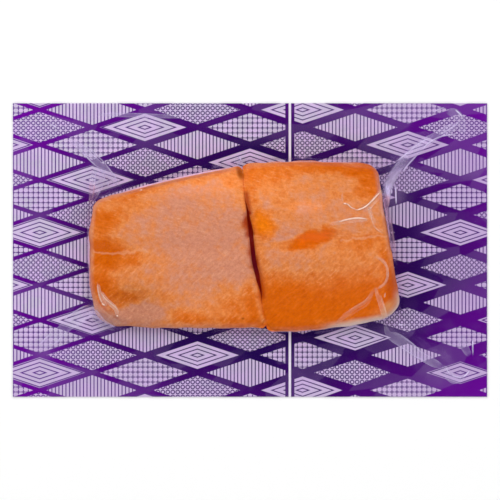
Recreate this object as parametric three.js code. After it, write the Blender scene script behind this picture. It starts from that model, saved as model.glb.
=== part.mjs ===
// A vacuum pack with two portions of one arctic char fillet, lying flat with its shown side up.
// Millimetres, +Z up, +X along the pack's long side. The origin is the middle of the card's underside.
// Four solids: the printed card, the tail and head portions of the fillet, and the clear film drawn over them.
import * as THREE from 'three';

// The card under the fish, with one crease scored right across it.
const CARD = { width: 257, depth: 159, thick: 0.6 };
const CREASE = { x: 21.6, width: 1.4, deep: 0.2 };

// Free space left between neighbours, and the clear film's own thickness.
const GAP = 0.3;
const FILM_THICK = 0.3;

// How thick the flesh is, from the thin belly flap up to the loin along the back.
// A shallow groove runs along the fillet's middle line and rises a little towards the head end.
const FLESH = { belly: 12, loin: 21.5, loinFrom: 0.72, tailShare: 0.84 };
const GROOVE = { y: 2.4, rise: 0.048, deep: 0.9, half: 6 };
const BELLY_LINE = -44.2;
const BACK_LINE = 48;
const TAIL_END = -87;
const HEAD_END = 82;

// A rim rounds over like a quarter ellipse: reach is measured inwards, drop downwards.
const LOIN_RIM = { reach: 6.0, drop: 7.5 };
const FLAP_RIM = { reach: 7.0, drop: 5.5 };
const OUTER_END_RIM = { reach: 4.5, drop: 5.5 };
const CUT_RIM = { reach: 2.2, drop: 2.6 };

// One portion: the x of its two cut ends at the back and at the belly, how far each end bows out to its
// side, its two long edges, and the radius of its four corners in plan.
const TAIL_PORTION = {
  name: 'tail_portion',
  left: { back: -84.6, belly: -83.2, bow: -3.2 },
  right: { back: -4.2, belly: 9.2, bow: -1.9 },
  back: arch(50.7, 64, -0.0011),
  belly: arch(-42.4, -10, 0.0003),
  corners: { leftBack: 6, rightBack: 3, leftBelly: 12, rightBelly: 3 },
  rims: { left: OUTER_END_RIM, right: CUT_RIM, back: LOIN_RIM, belly: FLAP_RIM },
};
const HEAD_PORTION = {
  name: 'head_portion',
  left: { back: -3.4, belly: 10.0, bow: 0.0 },
  right: { back: 68.4, belly: 82.6, bow: 0.7 },
  back: arch(47.9, 30, -0.0015),
  belly: arch(BELLY_LINE, 14, 0.0019),
  corners: { leftBack: 3, rightBack: 6, leftBelly: 3, rightBelly: 8 },
  rims: { left: CUT_RIM, right: OUTER_END_RIM, back: LOIN_RIM, belly: FLAP_RIM },
};

// The flesh's walls draw in towards the card.
const WALL_TUCK = 1.2;
const FILLET_SEGMENTS = { across: 20, up: 3, ease: 1.5 };

// The film clears the fish on all sides and sags a little along the cut between the portions.
const FILM = { outside: 1.2, above: 0.65, sag: 0.5, sagHalf: 2.5 };
const FILM_RIM = { reach: 4.5, drop: 5.0 };

// Past the fish the film comes down steeply: steps away from its outline, and the share of height left there.
const FOOT_OFFSETS = [0, 1.0, 2.2, 4.2];
const FOOT_HEIGHTS = [1, 0.6, 0.25, 0];
const FILM_RINGS = { over: 12, around: 10 };
const FILM_EASE = 1.5;

// Taut pleats that run down from the fish's corners towards the card's: ends in plan, height and half width.
const PLEATS = [
  { fromX: 70, fromY: 41, toX: 116, toY: 72, height: 11, half: 6 },
  { fromX: 76, fromY: -35, toX: 113, toY: -68, height: 6, half: 6 },
  { fromX: -81, fromY: -32, toX: -117, toY: -57, height: 7, half: 6 },
  { fromX: -81, fromY: 30, toX: -110, toY: 72, height: 8, half: 6 },
];

const COLOURS = { print: 0x9d86b8, flesh: 0xe0843f, paleFlesh: 0xdc8a52, film: 0xf3f1f6 };

const { clamp, lerp, smoothstep } = THREE.MathUtils;

// A long edge: y at x along a parabola with its crest at middle.
function arch(crest, middle, bend) {
  return (x) => crest + bend * (x - middle) ** 2;
}

// The x of a cut end, where v runs from -1 at the belly to 1 at the back.
function endAt(end, v) {
  return lerp(end.belly, end.back, (v + 1) / 2) + end.bow * (1 - v * v);
}

// The height of the flesh over its own underside at a point of the plan.
function fleshHeight(x, y) {
  const share = clamp((y - BELLY_LINE) / (BACK_LINE - BELLY_LINE), 0, 1);
  const rise = smoothstep(share, 0, FLESH.loinFrom);
  const groove = GROOVE.deep * Math.exp(-(((y - GROOVE.y - GROOVE.rise * x) / GROOVE.half) ** 2));
  const taper = lerp(FLESH.tailShare, 1, smoothstep(x, TAIL_END, HEAD_END));
  return (lerp(FLESH.belly, FLESH.loin, rise) - groove) * taper;
}

// How far a rounded rim has dropped at a distance inside the outline.
function roundedDrop(inside, reach, drop) {
  const left = clamp(1 - inside / reach, 0, 1);
  return drop * (1 - Math.sqrt(1 - left * left));
}

// The corner radius of a plan on the side of (u, v), which both run from -1 to 1.
function cornerRadius(corners, u, v) {
  const side = u > 0 ? 'right' : 'left';
  return corners[side + (v > 0 ? 'Back' : 'Belly')];
}

// Puts (u, v) of the square from -1 to 1 on a plan with slanted ends, arched edges and round corners.
// outward moves the whole outline out. The result holds the place and how far the rim has dropped there.
function planPoint(plan, u, v, outward) {
  const halfLength = (endAt(plan.right, v) - endAt(plan.left, v)) / 2 + outward;
  const middle = (endAt(plan.right, v) + endAt(plan.left, v)) / 2;
  const halfDepth = (plan.back(middle) - plan.belly(middle)) / 2 + outward;
  const radius = cornerRadius(plan.corners, u, v) + outward;
  let fromEnd = (1 - Math.abs(u)) * halfLength;
  let fromEdge = (1 - Math.abs(v)) * halfDepth;
  if (fromEnd < radius && fromEdge < radius) {
    const a = radius - fromEnd;
    const b = radius - fromEdge;
    const squeeze = Math.max(a, b) / Math.hypot(a, b);
    fromEnd = radius - a * squeeze;
    fromEdge = radius - b * squeeze;
  }
  const roundU = Math.sign(u) * (1 - fromEnd / halfLength);
  const roundV = Math.sign(v) * (1 - fromEdge / halfDepth);
  const left = endAt(plan.left, roundV) - outward;
  const right = endAt(plan.right, roundV) + outward;
  const x = lerp(left, right, (roundU + 1) / 2);
  const y = lerp(plan.belly(x) - outward, plan.back(x) + outward, (roundV + 1) / 2);

  const endRim = u > 0 ? plan.rims.right : plan.rims.left;
  const edgeRim = v > 0 ? plan.rims.back : plan.rims.belly;
  const soft = Math.max(radius, endRim.reach, edgeRim.reach);
  const nearEnd = Math.max(soft - fromEnd, 0);
  const nearEdge = Math.max(soft - fromEdge, 0);
  const inside = Math.max(soft - Math.hypot(nearEnd, nearEdge), 0);
  const endShare = nearEnd ** 2 / (nearEnd ** 2 + nearEdge ** 2 || 1);
  const reach = lerp(edgeRim.reach, endRim.reach, endShare);
  const drop = lerp(edgeRim.drop, endRim.drop, endShare);
  return { x, y, dropped: roundedDrop(inside, reach, drop) };
}

// Crowds the rows of a uniform grid towards the rim.
function eased(s, power) {
  return Math.sign(s) * (1 - (1 - Math.abs(s)) ** power);
}

// Moves every vertex of a geometry by a rule that gives its new place.
function reshape(geometry, rule) {
  const position = geometry.getAttribute('position');
  const spot = new THREE.Vector3();
  for (let i = 0; i < position.count; i += 1) {
    spot.fromBufferAttribute(position, i);
    const { x, y, z } = rule(spot);
    position.setXYZ(i, x, y, z);
  }
  geometry.computeVertexNormals();
  return geometry;
}

// The card's cross-section, with the notch of its crease, pulled along the card's depth.
function cardGeometry() {
  const half = CARD.width / 2;
  const section = new THREE.Shape([
    new THREE.Vector2(-half, 0),
    new THREE.Vector2(half, 0),
    new THREE.Vector2(half, CARD.thick),
    new THREE.Vector2(CREASE.x + CREASE.width / 2, CARD.thick),
    new THREE.Vector2(CREASE.x, CARD.thick - CREASE.deep),
    new THREE.Vector2(CREASE.x - CREASE.width / 2, CARD.thick),
    new THREE.Vector2(-half, CARD.thick),
  ]);
  const card = new THREE.ExtrudeGeometry(section, { depth: CARD.depth, bevelEnabled: false });
  card.rotateX(Math.PI / 2);
  card.translate(0, CARD.depth / 2, 0);
  return card;
}

// A box bent into one portion of the fillet: its top follows the flesh and rounds over at the rim.
function portionGeometry(portion) {
  const { across, up, ease } = FILLET_SEGMENTS;
  const underside = CARD.thick + GAP;
  return reshape(new THREE.BoxGeometry(2, 2, 1, across, across, up), (spot) => {
    const share = spot.z + 0.5;
    const tuck = WALL_TUCK * (1 - share) ** 2;
    const { x, y, dropped } = planPoint(portion, eased(spot.x, ease), eased(spot.y, ease), -tuck);
    return { x, y, z: underside + share * (fleshHeight(x, y) - dropped) };
  });
}

// The x of the cut between the portions at a y.
function cutAt(y) {
  const v = clamp(2 * (y - BELLY_LINE) / (BACK_LINE - BELLY_LINE) - 1, -1, 1);
  return (endAt(TAIL_PORTION.right, v) + endAt(HEAD_PORTION.left, v)) / 2;
}

// A long edge that passes from the tail portion's to the head portion's where they meet.
function joinedEdge(side) {
  const meet = cutAt(side === 'back' ? BACK_LINE : BELLY_LINE);
  const blend = 6;
  return (x) => lerp(TAIL_PORTION[side](x), HEAD_PORTION[side](x), smoothstep(x, meet - blend, meet + blend));
}

// The outline that the film closes round: both portions as one.
const PAIR = {
  left: TAIL_PORTION.left,
  right: HEAD_PORTION.right,
  back: joinedEdge('back'),
  belly: joinedEdge('belly'),
  corners: {
    leftBack: TAIL_PORTION.corners.leftBack,
    rightBack: HEAD_PORTION.corners.rightBack,
    leftBelly: TAIL_PORTION.corners.leftBelly,
    rightBelly: HEAD_PORTION.corners.rightBelly,
  },
  rims: { left: FILM_RIM, right: FILM_RIM, back: FILM_RIM, belly: FILM_RIM },
};

// The film's underside over the fish, at a place of the plan where its rim has dropped so far.
function filmOver({ x, y, dropped }) {
  const sag = FILM.sag * Math.exp(-(((x - cutAt(y)) / FILM.sagHalf) ** 2));
  return fleshHeight(x, y) - dropped - sag + FILM.above;
}

// The height of the pleats at a place of the plan: each ridge falls in a straight line and rounds off sideways.
function pleatHeight(x, y) {
  const heights = PLEATS.map((pleat) => {
    const length = Math.hypot(pleat.toX - pleat.fromX, pleat.toY - pleat.fromY);
    const alongX = (pleat.toX - pleat.fromX) / length;
    const alongY = (pleat.toY - pleat.fromY) / length;
    const along = (x - pleat.fromX) * alongX + (y - pleat.fromY) * alongY;
    const aside = (y - pleat.fromY) * alongX - (x - pleat.fromX) * alongY;
    const distance = Math.hypot(aside, Math.min(along, 0));
    const across = Math.max(1 - (distance / pleat.half) ** 2, 0) ** 2;
    return pleat.height * across * clamp(1 - along / length, 0, 1);
  });
  return Math.max(...heights);
}

// The film's place at grid step (i, j), counted from the middle: rows over the fish, then rings out to the rim.
// lift is 0 on the film's underside and 1 on its upper face.
function filmPoint(i, j, lift) {
  const { over, around } = FILM_RINGS;
  const ring = Math.max(Math.abs(i), Math.abs(j));
  const rest = CARD.thick + GAP + lift * FILM_THICK;
  const outward = FILM.outside + lift * FILM_THICK;
  if (ring <= over) {
    const spot = planPoint(PAIR, eased(i / over, FILM_EASE), eased(j / over, FILM_EASE), outward);
    return { x: spot.x, y: spot.y, z: rest + filmOver(spot) };
  }
  const u = eased(i / ring, FILM_EASE);
  const v = eased(j / ring, FILM_EASE);
  const inner = planPoint(PAIR, u, v, outward);
  const outer = { x: u * CARD.width / 2, y: v * CARD.depth / 2 };
  const span = Math.hypot(outer.x - inner.x, outer.y - inner.y);
  const step = ring - over;
  const lastFoot = FOOT_OFFSETS.length - 1;
  const footShare = FOOT_OFFSETS[lastFoot] / span;
  const share = step <= lastFoot
    ? FOOT_OFFSETS[step] / span
    : lerp(footShare, 1, (step - lastFoot) / (around - lastFoot));
  const x = lerp(inner.x, outer.x, share);
  const y = lerp(inner.y, outer.y, share);
  const wall = filmOver(inner) * (FOOT_HEIGHTS[step] ?? 0);
  return { x, y, z: rest + Math.max(wall, pleatHeight(x, y)) };
}

// A thin box bent into the film, from its underside to its upper face.
function filmGeometry() {
  const steps = FILM_RINGS.over + FILM_RINGS.around;
  return reshape(new THREE.BoxGeometry(2, 2, 1, 2 * steps, 2 * steps, 1), (spot) => (
    filmPoint(Math.round(spot.x * steps), Math.round(spot.y * steps), spot.z + 0.5)
  ));
}

function named(name, geometry, material) {
  const mesh = new THREE.Mesh(geometry, material);
  mesh.name = name;
  return mesh;
}

const printedCard = new THREE.MeshStandardMaterial({ color: COLOURS.print, roughness: 0.45, metalness: 0 });
const flesh = new THREE.MeshStandardMaterial({ color: COLOURS.flesh, roughness: 0.4, metalness: 0 });
const paleFlesh = new THREE.MeshStandardMaterial({ color: COLOURS.paleFlesh, roughness: 0.4, metalness: 0 });
const clearFilm = new THREE.MeshStandardMaterial({
  color: COLOURS.film, roughness: 0.08, metalness: 0, transparent: true, opacity: 0.2,
});

const pack = new THREE.Group();
pack.add(
  named('backing_card', cardGeometry(), printedCard),
  named(TAIL_PORTION.name, portionGeometry(TAIL_PORTION), paleFlesh),
  named(HEAD_PORTION.name, portionGeometry(HEAD_PORTION), flesh),
  named('cover_film', filmGeometry(), clearFilm),
);

export default pack;
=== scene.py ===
# %% [markdown]
# # A vacuum pack of arctic char
# The pack is a flat printed card with two portions of one fish fillet on it, and a clear film that was
# shrunk over both under vacuum. The camera looks straight down on it.
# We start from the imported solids, which give every size, and make the parts that the eye dwells on again
# with finer surfaces: the flesh, the film and its folds.

import math

import bmesh
import bpy
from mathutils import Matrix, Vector, noise
from mathutils.bvhtree import BVHTree


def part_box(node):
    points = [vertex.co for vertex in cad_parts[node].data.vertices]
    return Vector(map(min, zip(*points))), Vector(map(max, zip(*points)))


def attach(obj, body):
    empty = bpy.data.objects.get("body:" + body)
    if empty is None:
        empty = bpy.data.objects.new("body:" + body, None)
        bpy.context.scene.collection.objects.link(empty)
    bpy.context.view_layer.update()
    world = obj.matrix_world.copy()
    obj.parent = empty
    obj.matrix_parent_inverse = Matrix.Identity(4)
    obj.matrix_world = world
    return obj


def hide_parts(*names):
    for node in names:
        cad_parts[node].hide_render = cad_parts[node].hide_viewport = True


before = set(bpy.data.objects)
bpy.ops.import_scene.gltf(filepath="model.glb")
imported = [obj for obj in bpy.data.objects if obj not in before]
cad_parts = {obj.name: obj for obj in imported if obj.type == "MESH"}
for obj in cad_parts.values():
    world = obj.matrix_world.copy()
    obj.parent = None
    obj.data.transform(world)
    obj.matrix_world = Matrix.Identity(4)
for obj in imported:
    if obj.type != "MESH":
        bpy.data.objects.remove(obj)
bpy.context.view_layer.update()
print("nodes:", sorted(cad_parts))

# %% [markdown]
# ## Sizes
# Blender works in metres, but a fish pack is easier to think about in millimetres. So every size below is
# written in millimetres, and one factor turns it into metres where a vertex is placed.
# The card's size and its upper face come from the solids, so they can't drift apart.

# %% Sizes of the card
MM = 0.001

card_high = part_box("backing_card")[1]
CARD_HALF_X = card_high[0] / MM
CARD_HALF_Y = card_high[1] / MM
CARD_TOP = card_high[2] / MM
CREASE_X = 21.6
CREASE_WIDTH = 1.4
print("card in mm:", round(2 * CARD_HALF_X, 1), "by", round(2 * CARD_HALF_Y, 1),
      "top at", round(CARD_TOP, 2))

# %% [markdown]
# ## The plan of the fillet
# Seen from above a portion has two long edges, the back and the belly, and two cut ends. A long edge is a
# shallow arch, so a parabola describes it. A cut end is a slanted line with a slight bow.
# Both portions and the film share these rules. This is why the film fits the fish without any fitting.

# %% The outlines
def arch(crest, middle, bend):
    """A long edge: y at x along a parabola with its crest at middle."""
    return lambda x: crest + bend * (x - middle) ** 2


BELLY_LINE = -44.2
BACK_LINE = 48.0
TAIL_END = -87.0
HEAD_END = 82.0

LOIN_RIM = {"reach": 6.0, "drop": 7.5}
FLAP_RIM = {"reach": 7.0, "drop": 5.5}
OUTER_END_RIM = {"reach": 4.5, "drop": 5.5}
CUT_RIM = {"reach": 2.2, "drop": 2.6}

TAIL_PORTION = {
    "left": {"back": -84.6, "belly": -82.6, "bow": -3.0},
    "right": {"back": -4.2, "belly": 9.2, "bow": -1.9},
    "back": arch(50.7, 64, -0.0011),
    "belly": arch(-42.4, -10, 0.0003),
    "corners": {("left", "back"): 4, ("right", "back"): 3, ("left", "belly"): 12, ("right", "belly"): 3},
    "rims": {"left": OUTER_END_RIM, "right": CUT_RIM, "back": LOIN_RIM, "belly": FLAP_RIM},
}
HEAD_PORTION = {
    "left": {"back": -3.4, "belly": 10.0, "bow": 0.0},
    "right": {"back": 68.4, "belly": 82.4, "bow": -0.2},
    "back": arch(47.9, 30, -0.0015),
    "belly": arch(BELLY_LINE, 14, 0.0021),
    "corners": {("left", "back"): 3, ("right", "back"): 6, ("left", "belly"): 3, ("right", "belly"): 11},
    "rims": {"left": CUT_RIM, "right": OUTER_END_RIM, "back": LOIN_RIM, "belly": FLAP_RIM},
}

# %% Small helpers for shapes
def clamp(value, low=0.0, high=1.0):
    """Keeps a value between low and high."""
    return max(low, min(high, value))


def lerp(a, b, share):
    """The value that lies a share of the way from a to b."""
    return a + (b - a) * share


def smooth(value, low, high):
    """0 below low, 1 above high and a soft S between."""
    share = clamp((value - low) / (high - low))
    return share * share * (3 - 2 * share)


def eased(s, power):
    """Crowds the rows of an even grid, which runs from -1 to 1, towards its rim."""
    return math.copysign(1 - (1 - abs(s)) ** power, s)


def end_at(end, v):
    """The x of a cut end, where v runs from -1 at the belly to 1 at the back."""
    return lerp(end["belly"], end["back"], (v + 1) / 2) + end["bow"] * (1 - v * v)


def rounded_drop(inside, reach, drop):
    """How far a rim that rounds over like a quarter ellipse has dropped, so far inside the outline."""
    left = clamp(1 - inside / reach)
    return drop * (1 - math.sqrt(1 - left * left))


def plan_point(plan, u, v, outward):
    """Puts (u, v) of a square from -1 to 1 on the plan. Says how far the rim has dropped there, and how
    far inside the outline it is."""
    half_length = (end_at(plan["right"], v) - end_at(plan["left"], v)) / 2 + outward
    middle = (end_at(plan["right"], v) + end_at(plan["left"], v)) / 2
    half_depth = (plan["back"](middle) - plan["belly"](middle)) / 2 + outward
    end_side = "right" if u > 0 else "left"
    edge_side = "back" if v > 0 else "belly"
    radius = plan["corners"][end_side, edge_side] + outward
    from_end = (1 - abs(u)) * half_length
    from_edge = (1 - abs(v)) * half_depth
    if from_end < radius and from_edge < radius:
        a = radius - from_end
        b = radius - from_edge
        squeeze = max(a, b) / math.hypot(a, b)
        from_end = radius - a * squeeze
        from_edge = radius - b * squeeze
    round_u = math.copysign(1 - from_end / half_length, u)
    round_v = math.copysign(1 - from_edge / half_depth, v)
    left = end_at(plan["left"], round_v) - outward
    right = end_at(plan["right"], round_v) + outward
    x = lerp(left, right, (round_u + 1) / 2)
    y = lerp(plan["belly"](x) - outward, plan["back"](x) + outward, (round_v + 1) / 2)

    end_rim = plan["rims"][end_side]
    edge_rim = plan["rims"][edge_side]
    soft = max(radius, end_rim["reach"], edge_rim["reach"])
    near_end = max(soft - from_end, 0)
    near_edge = max(soft - from_edge, 0)
    inside = max(soft - math.hypot(near_end, near_edge), 0)
    end_share = near_end ** 2 / ((near_end ** 2 + near_edge ** 2) or 1)
    reach = lerp(edge_rim["reach"], end_rim["reach"], end_share)
    drop = lerp(edge_rim["drop"], end_rim["drop"], end_share)
    return x, y, rounded_drop(inside, reach, drop), inside


def bend_to(bm, rule):
    """Moves every vertex to the place in millimetres that the rule gives for it."""
    for vert in bm.verts:
        vert.co = Vector(rule(vert)) * MM


def extruded(bm, edges, kind):
    """Extrudes edges and gives the new elements of one kind."""
    made = bmesh.ops.extrude_edge_only(bm, edges=edges)["geom"]
    return [item for item in made if isinstance(item, kind)]


def rim_of(edges):
    """Those of the edges that lie on the rim of a sheet."""
    return [edge for edge in edges if edge.is_boundary]


def noise_at(x, y, layer, size):
    """Smooth noise from -1 to 1 with blobs of about a size. Each use has a layer of its own."""
    return noise.noise(Vector((x, y, layer)) / size)


def finished(bm, name):
    """Turns a bmesh into a smooth object that rides on the pack."""
    bmesh.ops.recalc_face_normals(bm, faces=bm.faces)
    for face in bm.faces:
        face.smooth = True
    mesh = bpy.data.meshes.new(name)
    bm.to_mesh(mesh)
    bm.free()
    piece = bpy.data.objects.new(name, mesh)
    bpy.context.scene.collection.objects.link(piece)
    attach(piece, "root")
    triangles = sum(len(face.vertices) - 2 for face in mesh.polygons)
    print(name, "has", triangles, "triangles")
    return piece


# %% [markdown]
# ## The flesh
# A char fillet is thick at the loin, along the back, and thin at the belly flap. A shallow groove follows
# its middle line. Under it the flesh isn't flat: it swells and dips a little between the flakes.
# A lump of food could be sculpted, or built from a height rule. The rule is the better way here, because
# the film has to follow the same heights a hair above it.
# Each portion starts as one flat grid. Its rim is extruded down for the wall, and then every vertex is
# moved to its place.

# %% The height of the flesh
FLESH = {"belly": 12.0, "loin": 21.5, "loin_from": 0.72, "tail_share": 0.84}
GROOVE = {"y": 2.4, "rise": 0.048, "deep": 0.9, "half": 6.0}
GAP = 0.3
UNDERSIDE = CARD_TOP + GAP
WALL_TUCK = 1.2

SWELL = {"height": 0.35, "layer": 3.0, "size": 17.0}
FLAKE = {"height": 0.05, "pitch": 5.2, "slants": (0.8, 0.9), "wander": 2.5, "layer": 9.0, "size": 14.0}
UNEVEN = {"shift": 0.8, "layer": 5.0, "size": 8.0, "power": 6}
TOUCH = {"back": (10.0, 30.0), "belly": (-31.0, -14.0), "apart": 0.12, "soften": 0.6, "power": 8,
         "tail_gives": 0.25, "shift": -0.4, "shift_from": (-30.0, 5.0), "lean": -0.35}


def flesh_height(x, y):
    """The height of the flesh over its own underside."""
    share = clamp((y - BELLY_LINE) / (BACK_LINE - BELLY_LINE))
    rise = smooth(share, 0, FLESH["loin_from"])
    off_groove = (y - GROOVE["y"] - GROOVE["rise"] * x) / GROOVE["half"]
    groove = GROOVE["deep"] * math.exp(-off_groove ** 2)
    taper = lerp(FLESH["tail_share"], 1, smooth(x, TAIL_END, HEAD_END))
    return (lerp(FLESH["belly"], FLESH["loin"], rise) - groove) * taper


def touching(y):
    """1 where the two portions still touch, near both ends of the cut, and 0 where the cut gapes."""
    back = smooth(y, *TOUCH["back"])
    belly = 1 - smooth(y, *TOUCH["belly"])
    return max(back, belly)


def cut_ends(y):
    """The x of both faces of the cut at a y."""
    v = clamp(2 * (y - BELLY_LINE) / (BACK_LINE - BELLY_LINE) - 1, -1, 1)
    return end_at(TAIL_PORTION["right"], v), end_at(HEAD_PORTION["left"], v)


def given_way(y):
    """How far both faces of the cut have moved from their plan. Near both ends they close up, and the
    head's face gives way more. In between it leans over a little."""
    tail_face, head_face = cut_ends(y)
    closing = touching(y) * (head_face - tail_face - TOUCH["apart"])
    shift = TOUCH["shift"] * smooth(y, *TOUCH["shift_from"])
    lean = TOUCH["lean"] * (1 - touching(y))
    return shift + closing * TOUCH["tail_gives"], shift + lean - closing * (1 - TOUCH["tail_gives"])


def unevenness(x, y):
    """Nothing on a cut fillet is quite straight: a small sideways shift for a place near its rim."""
    place = Vector((x, y, UNEVEN["layer"])) / UNEVEN["size"]
    return UNEVEN["shift"] * noise.noise(place), UNEVEN["shift"] * noise.noise(place + Vector((7, 7, 7)))


def swells(x, y):
    """Soft swells and dips of the flesh."""
    return SWELL["height"] * noise_at(x, y, SWELL["layer"], SWELL["size"])


def flakes(x, y):
    """The faint steps between the flakes, which slant away from the middle line on both sides."""
    across = x * FLAKE["slants"][0] + abs(y - GROOVE["y"]) * FLAKE["slants"][1]
    wander = FLAKE["wander"] * noise_at(x, y, FLAKE["layer"], FLAKE["size"])
    return FLAKE["height"] * math.sin(2 * math.pi * (across + wander) / FLAKE["pitch"])


# %% Build the two portions
PORTION_ROWS = 140
WALL_ROWS = 10
FLESH_EASE = 1.35
RELIEF_ABOVE = 0.6


def flesh_grid():
    """A grid for the top, its rim extruded down in rows, and a flat underside. Every vertex keeps its place
    on the plan, as u and v, and its share of the height."""
    bm = bmesh.new()
    bmesh.ops.create_grid(bm, x_segments=PORTION_ROWS, y_segments=PORTION_ROWS, size=1)
    place = bm.verts.layers.float_vector.new("plan_place")
    from_rim = bm.verts.layers.float.new("from_rim")
    for vert in bm.verts:
        vert[place] = Vector((eased(vert.co.x, FLESH_EASE), eased(vert.co.y, FLESH_EASE), 1))
    rim = rim_of(bm.edges)
    for row in range(1, WALL_ROWS + 1):
        rim = rim_of(extruded(bm, rim, bmesh.types.BMEdge))
        for vert in {vert for edge in rim for vert in edge.verts}:
            vert[place].z = 1 - row / WALL_ROWS
    bmesh.ops.contextual_create(bm, geom=rim)
    return bm, place, from_rim


def portion(name, plan, node, cut_side):
    """One portion, bent to its plan. Its cut faces right where cut_side is 1, and left where it is -1."""
    bm, place, from_rim = flesh_grid()

    def flesh_place(vert):
        u, v, share = vert[place]
        tuck = WALL_TUCK * (1 - share) ** 2
        x, y, dropped, inside = plan_point(plan, u, v, -tuck)
        vert[from_rim] = inside * share
        shift_x, shift_y = unevenness(x, y)
        near_rim = max(abs(u), abs(v)) ** UNEVEN["power"]
        x += shift_x * near_rim
        y += shift_y * near_rim
        near_cut = clamp(u * cut_side) ** TOUCH["power"]
        towards_cut = near_cut * touching(y)
        tail_moved, head_moved = given_way(y)
        x += near_cut * (tail_moved if cut_side > 0 else head_moved)
        dropped *= 1 - TOUCH["soften"] * towards_cut
        relief = (swells(x, y) + flakes(x, y)) * smooth(share, 0, RELIEF_ABOVE)
        return x, y, UNDERSIDE + share * (flesh_height(x, y) - dropped) + relief

    bend_to(bm, flesh_place)
    piece = finished(bm, name)
    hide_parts(node)
    return piece


tail = portion("tail_flesh", TAIL_PORTION, "tail_portion", cut_side=1)
head = portion("head_flesh", HEAD_PORTION, "head_portion", cut_side=-1)

# %% [markdown]
# ## The film
# The film is one sheet. It lies tight on the fish, bridges the cut between the portions, comes down the
# sides in a steep curve and then lies flat on the card out to its edge. At the fish's corners there is
# more film than the shape needs, so it stands up in taut pleats that run towards the card's corners.
# A cloth simulation would give folds of its own choosing. A sheet bent by the same rules as the flesh
# puts each pleat where it is on the real pack, and never cuts through the fish.
# The sheet is a square grid. Its inner rings lie over the fish and its outer rings run out to the card's
# edge. At the very end its rim is extruded down to the card, where it is sealed.

# %% Where the film lies
FILM = {"outside": 0.9, "above": 0.38, "sag": 0.7, "sag_half": 2.2, "foot": 3.0, "over_card": 0.2}
FILM_RIM = {"reach": 4.5, "drop": 5.0}
FILM_RINGS = {"over": 84, "foot": 14, "around": 52}
FILM_EASE = 1.5
JOIN = {"before": 7.5, "after": 3.5}

PLEATS = [
    {"start": (70, 41), "end": (116, 72), "height": 11, "half": 6},
    {"start": (76, -35), "end": (113, -68), "height": 6, "half": 6},
    {"start": (-81, -32), "end": (-117, -57), "height": 7, "half": 6},
    {"start": (-81, 30), "end": (-110, 72), "height": 8, "half": 6},
]
RIPPLE = {"height": 0.22, "layer": 1.0, "size": 7.0, "begins": (0, 3), "dies": 16.0, "ends": (0.9, 1)}


def cut_at(y):
    """The x of the middle of the cut at a y."""
    return sum(cut_ends(y) + given_way(y)) / 2


def joined_edge(side, line):
    """A long edge that passes from the tail portion's to the head portion's where they meet."""
    start = cut_at(line) - JOIN["before"]
    stop = cut_at(line) + JOIN["after"]
    tail_edge = TAIL_PORTION[side]
    head_edge = HEAD_PORTION[side]
    return lambda x: lerp(tail_edge(x), head_edge(x), smooth(x, start, stop))


PAIR = {
    "left": TAIL_PORTION["left"],
    "right": HEAD_PORTION["right"],
    "back": joined_edge("back", BACK_LINE),
    "belly": joined_edge("belly", BELLY_LINE),
    "corners": {(end, edge): plan["corners"][end, edge] for edge in ("back", "belly")
                for end, plan in (("left", TAIL_PORTION), ("right", HEAD_PORTION))},
    "rims": dict.fromkeys(TAIL_PORTION["rims"], FILM_RIM),
}


def film_over(x, y, dropped):
    """The film's height over the flesh's underside, on top of the fish."""
    gaping = 1 - TOUCH["soften"] * touching(y)
    sag = FILM["sag"] * gaping * math.exp(-((x - cut_at(y)) / FILM["sag_half"]) ** 2)
    return flesh_height(x, y) + swells(x, y) - dropped - sag + FILM["above"]


def pleat_height(x, y):
    """Each pleat's ridge falls in a straight line from the fish, and rounds off to both sides."""
    tallest = 0
    for pleat in PLEATS:
        start = Vector(pleat["start"])
        way = Vector(pleat["end"]) - start
        length = way.length
        way.normalize()
        step = Vector((x, y)) - start
        along = step.dot(way)
        aside = step.cross(way)
        distance = math.hypot(aside, min(along, 0))
        across = max(1 - (distance / pleat["half"]) ** 2, 0) ** 2
        tallest = max(tallest, pleat["height"] * across * clamp(1 - along / length))
    return tallest


def film_off_fish(x, y, height, outer, step):
    """The film's place so many grid steps off the fish, from (x, y) on its outline to the outer edge."""
    foot = FILM_RINGS["foot"]
    span = math.hypot(outer[0] - x, outer[1] - y)
    foot_share = FILM["foot"] / span
    if step <= foot:
        share = foot_share * step / foot
    else:
        share = lerp(foot_share, 1, (step - foot) / FILM_RINGS["around"])
    x, y = lerp(x, outer[0], share), lerp(y, outer[1], share)
    off_fish = share * span
    wall = (GAP - FILM["over_card"] + height) * clamp(1 - off_fish / FILM["foot"]) ** 2
    fade = math.exp(-off_fish / RIPPLE["dies"])
    fade *= smooth(off_fish, *RIPPLE["begins"]) * (1 - smooth(share, *RIPPLE["ends"]))
    ripple = RIPPLE["height"] * (1 + noise_at(x, y, RIPPLE["layer"], RIPPLE["size"])) * fade
    return x, y, CARD_TOP + FILM["over_card"] + max(wall, pleat_height(x, y)) + ripple


def film_place(i, j):
    """The film's place at grid step (i, j), counted from its middle."""
    over = FILM_RINGS["over"]
    ring = max(abs(i), abs(j), over)
    u, v = eased(i / ring, FILM_EASE), eased(j / ring, FILM_EASE)
    x, y, dropped = plan_point(PAIR, u, v, FILM["outside"])[:3]
    height = film_over(x, y, dropped)
    if ring == over:
        return x, y, UNDERSIDE + height
    return film_off_fish(x, y, height, (u * CARD_HALF_X, v * CARD_HALF_Y), ring - over)


# %% Build the film
RAY_START = 100.0


def film_sheet():
    """The film as one grid, with its rim extruded down to the card."""
    steps = sum(FILM_RINGS.values())
    bm = bmesh.new()
    bmesh.ops.create_grid(bm, x_segments=2 * steps, y_segments=2 * steps, size=1)
    bend_to(bm, lambda vert: film_place(round(vert.co.x * steps), round(vert.co.y * steps)))
    for vert in extruded(bm, rim_of(bm.edges), bmesh.types.BMVert):
        vert.co.z = CARD_TOP * MM
    return bm


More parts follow.
